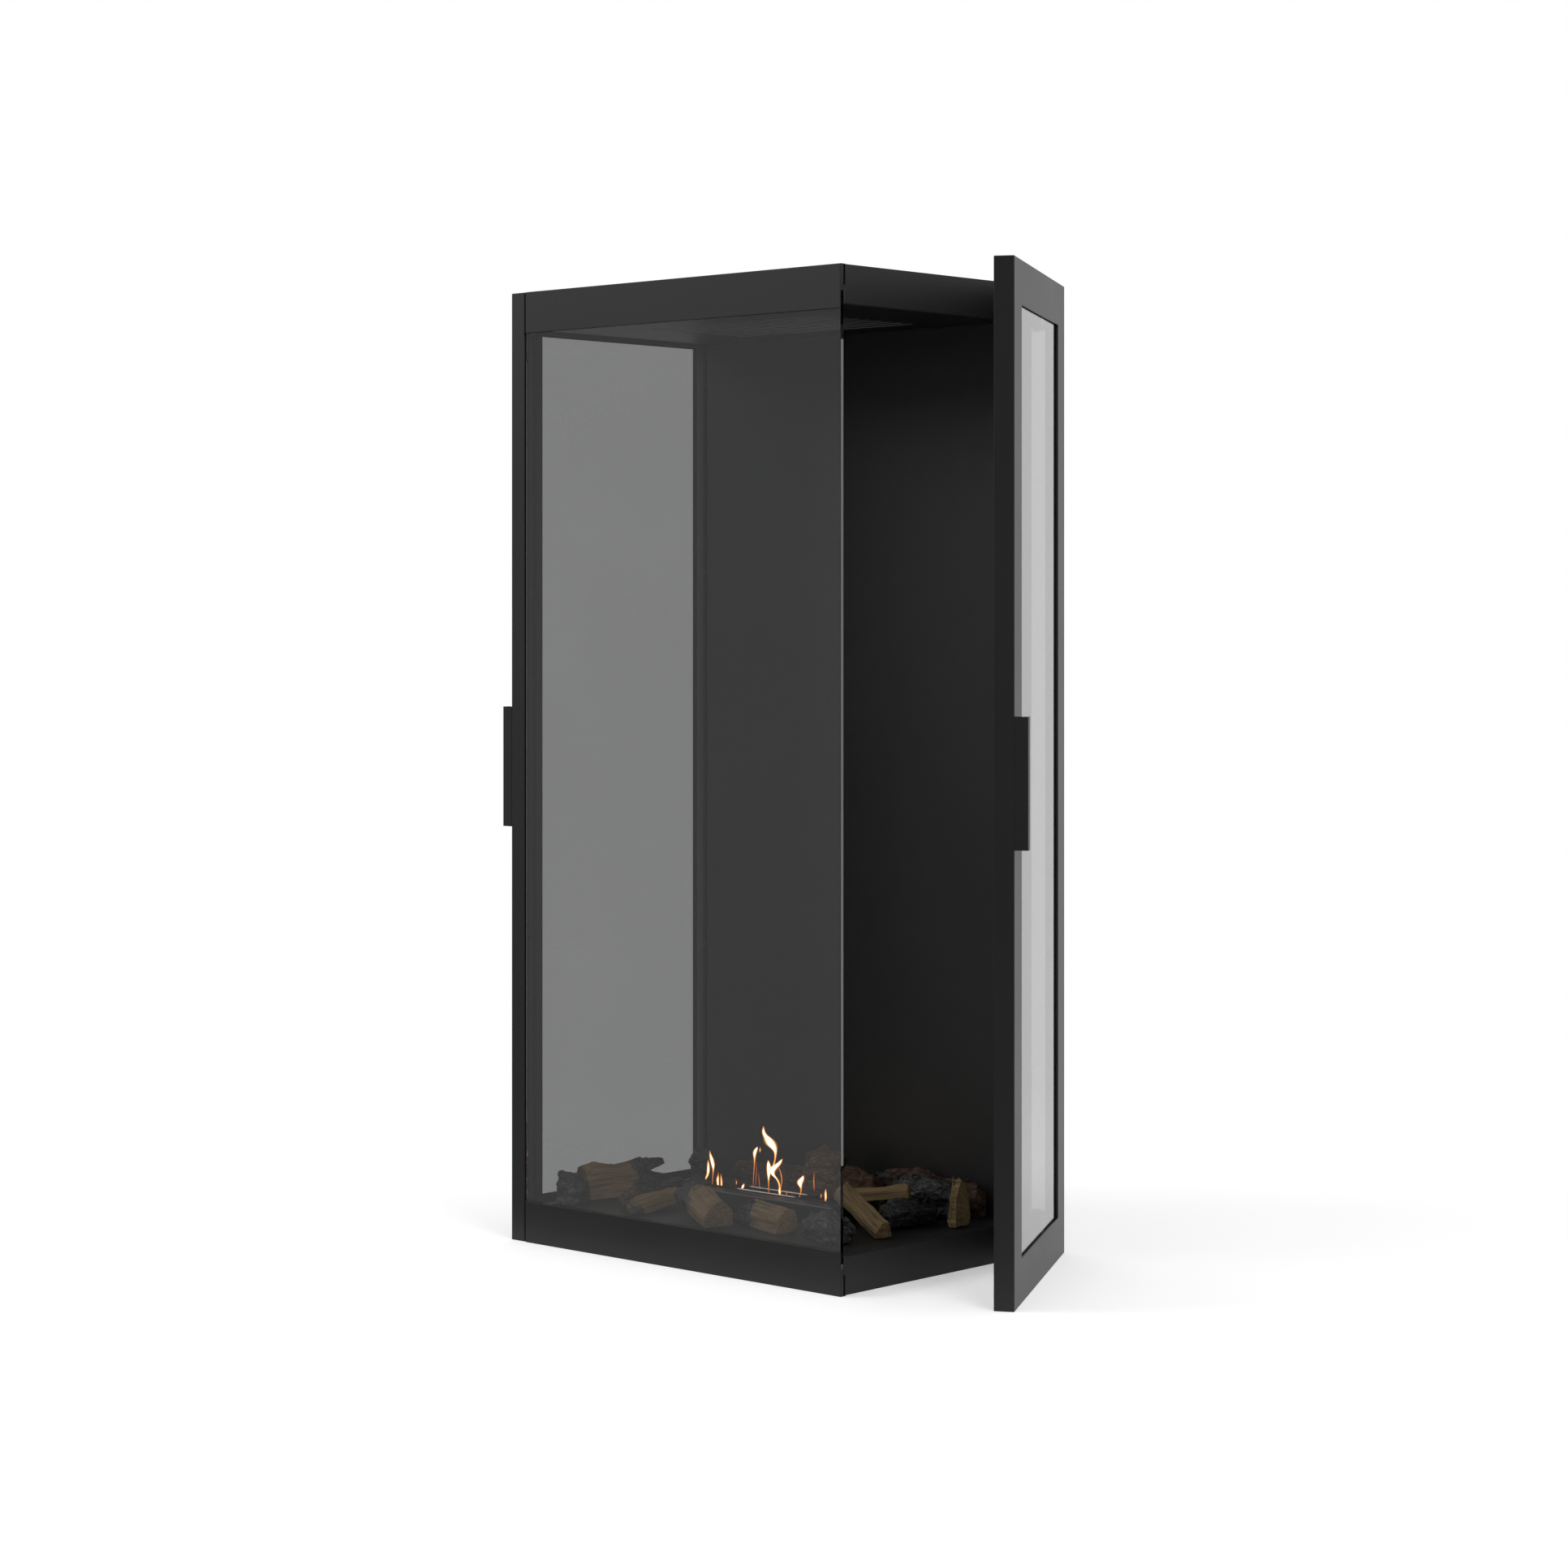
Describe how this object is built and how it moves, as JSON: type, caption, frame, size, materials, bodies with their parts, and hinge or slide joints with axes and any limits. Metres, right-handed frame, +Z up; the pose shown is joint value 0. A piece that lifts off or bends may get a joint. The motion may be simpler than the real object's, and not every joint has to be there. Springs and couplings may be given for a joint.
{
  "type": "bioethanol fireplace",
  "caption": "Tall three-sided bioethanol fireplace in black steel, with a fixed front pane, a hinged glass door at each end, a slot burner with a snuffer and ceramic logs.",
  "frame": {"origin": "middle of the cabinet's underside, on the surface it stands on", "axes": "+X to the right end and +Y to the back as seen facing the fixed front pane, +Z up"},
  "size_m": [0.991, 0.5013, 1.5],
  "materials": {
    "black_steel": "fine-textured matt black powder coat on folded sheet steel",
    "smoked_glass": "neutral grey tempered glass with ground edges",
    "stainless": "brushed stainless steel, heat-tinted at the slot",
    "zinc_fastener": "zinc-plated steel",
    "black_fastener": "black oxide on steel",
    "black_seal": "black heat-resisting sealing strip",
    "magnet": "nickel-plated magnet",
    "ceramic_wool": "off-white absorbent ceramic wool",
    "split_log": "ceramic log painted as split wood, with grain and charred patches",
    "bark_log": "ceramic log painted as reddish-brown bark plates",
    "charred_log": "ceramic log painted as blue-black charcoal with cracks"
  },
  "bodies": {
    "cabinet": {"back_liner": "black_steel", "base_plate": "black_steel", "burner_surround": "black_steel", "burner_tank": "stainless", "burner_wool": "ceramic_wool", "cabinet_screws": "zinc_fastener", "ceiling_tray": "black_steel", "cover_screws": "black_fastener", "front_bottom_rail": "black_steel", "front_glass": "smoked_glass", "front_top_rail": "black_steel", "glass_seals": "black_seal", "glass_setting_strip": "black_seal", "glass_support_angle": "black_steel", "hearth_tray": "black_steel", "hinge_pins": "zinc_fastener", "left_catch_magnets": "magnet", "left_hinge_brackets": "black_steel", "left_rear_post": "black_steel", "log_front_leaning_split": "split_log", "log_front_left_charcoal": "charred_log", "log_front_middle_split": "split_log", "log_front_right_charcoal": "charred_log", "log_front_small_split": "split_log", "log_front_wide_split": "split_log", "log_left_dark": "bark_log", "log_left_split": "split_log", "log_middle_stick": "split_log", "log_rear_left_bark": "bark_log", "log_rear_left_charcoal": "charred_log", "log_rear_middle_bark": "bark_log", "log_rear_right_bark": "bark_log", "log_rear_small_bark": "bark_log", "log_right_high_charcoal": "charred_log", "log_right_low_charcoal": "charred_log", "log_right_upright_split": "split_log", "rear_cover": "black_steel", "right_catch_magnets": "magnet", "right_hinge_brackets": "black_steel", "right_rear_post": "black_steel", "top_cover": "black_steel"},
    "left_door": {"left_door_frame": "black_steel", "left_door_glass": "smoked_glass", "left_door_glass_retainers": "black_steel", "left_door_glass_tape": "black_seal", "left_door_handle": "black_steel", "left_door_hinge_arms": "black_steel", "left_door_retainer_nuts": "black_fastener", "left_door_screws": "black_fastener"},
    "right_door": {"right_door_frame": "black_steel", "right_door_glass": "smoked_glass", "right_door_glass_retainers": "black_steel", "right_door_glass_tape": "black_seal", "right_door_handle": "black_steel", "right_door_hinge_arms": "black_steel", "right_door_retainer_nuts": "black_fastener", "right_door_screws": "black_fastener"},
    "shutter": {"burner_shutter": "stainless"}
  },
  "joints": [
    {"name": "left_door_hinge", "type": "hinge", "parent": "cabinet", "child": "left_door", "pos_m": [-0.3215, 0.228, 0.75], "axis": [0, 0, -1], "range_deg": [0, 95]},
    {"name": "right_door_hinge", "type": "hinge", "parent": "cabinet", "child": "right_door", "pos_m": [0.3215, 0.228, 0.75], "axis": [0, 0, 1], "range_deg": [-29.4, 65.6]},
    {"name": "shutter_slide", "type": "slide", "parent": "cabinet", "child": "shutter", "axis": [0, -1, 0], "range_m": [0, 0.0245]}
  ]
}
